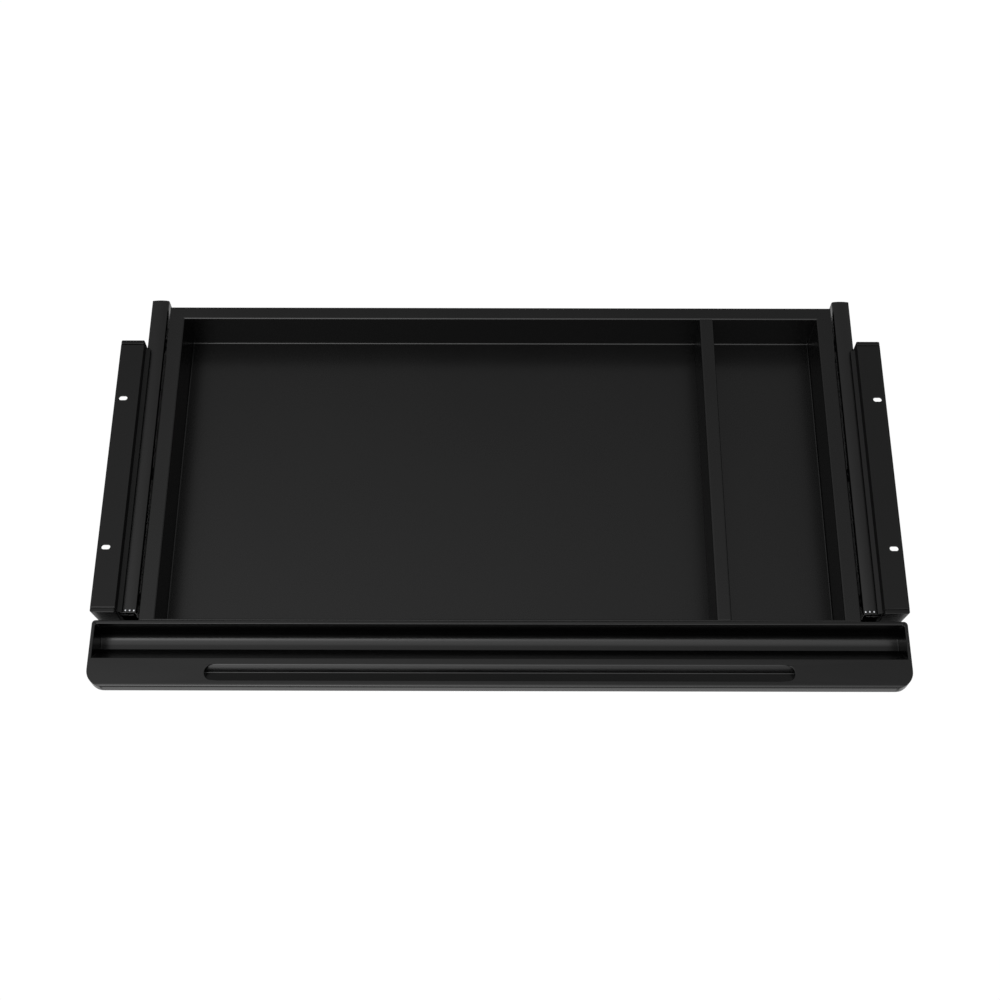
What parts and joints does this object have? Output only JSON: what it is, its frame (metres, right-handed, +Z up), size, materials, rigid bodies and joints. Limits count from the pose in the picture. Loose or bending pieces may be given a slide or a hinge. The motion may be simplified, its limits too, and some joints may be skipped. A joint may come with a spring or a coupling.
{
  "type": "under desk drawer",
  "caption": "Shallow under-desk drawer on ball-bearing slides, with a divided tray, a moulded front with a pencil trough and finger groove, and screw brackets.",
  "frame": {"origin": "centre of the desk-side mounting plane, on top of the bracket flanges, at the centre of the four screw slots", "axes": "+X to the right along the drawer front, +Y to the back of the desk, +Z up into the desk top"},
  "size_m": [0.5608, 0.3044, 0.0459],
  "materials": {
    "bracket_steel": "satin black powder coat",
    "cap_plastic": "satin black moulded plastic",
    "rail_steel": "black electrocoat on roll-formed steel",
    "screw_steel": "black zinc",
    "bumper_rubber": "matt",
    "cage_steel": "bright zinc",
    "ball_steel": "polished",
    "tray_steel": "fine satin black powder coat",
    "front_plastic": "fine-grained black moulded plastic"
  },
  "bodies": {
    "brackets": {"left_bracket": "bracket_steel", "right_bracket": "bracket_steel", "left_front_end_cap": "cap_plastic", "right_front_end_cap": "cap_plastic", "left_back_end_cap": "cap_plastic", "right_back_end_cap": "cap_plastic", "left_fixed_rail": "rail_steel", "right_fixed_rail": "rail_steel", "left_bracket_screws": "screw_steel", "right_bracket_screws": "screw_steel", "left_slide_bumper": "bumper_rubber", "right_slide_bumper": "bumper_rubber"},
    "drawer": {"drawer_tray": "tray_steel", "divider": "tray_steel", "divider_rivets": "screw_steel", "front_moulding": "front_plastic", "front_bottom_cover": "front_plastic", "front_screws": "screw_steel", "cover_screws": "screw_steel", "left_drawer_rail": "rail_steel", "right_drawer_rail": "rail_steel", "left_rail_spacers": "screw_steel", "right_rail_spacers": "screw_steel", "left_rail_screws": "screw_steel", "right_rail_screws": "screw_steel"},
    "left_cage": {"left_ball_cage": "cage_steel", "left_balls": "ball_steel"},
    "right_cage": {"right_ball_cage": "cage_steel", "right_balls": "ball_steel"}
  },
  "joints": [
    {"name": "drawer_slide", "type": "slide", "parent": "brackets", "child": "drawer", "axis": [0, -1, 0], "range_m": [0, 0.18]},
    {"name": "left_cage_slide", "type": "slide", "parent": "brackets", "child": "left_cage", "axis": [0, -1, 0], "range_m": [0, 0.09]},
    {"name": "right_cage_slide", "type": "slide", "parent": "brackets", "child": "right_cage", "axis": [0, -1, 0], "range_m": [0, 0.09]}
  ],
  "couplings": [
    {"joint": "left_cage_slide", "follows": "drawer_slide", "ratio": 0.5},
    {"joint": "right_cage_slide", "follows": "drawer_slide", "ratio": 0.5}
  ]
}
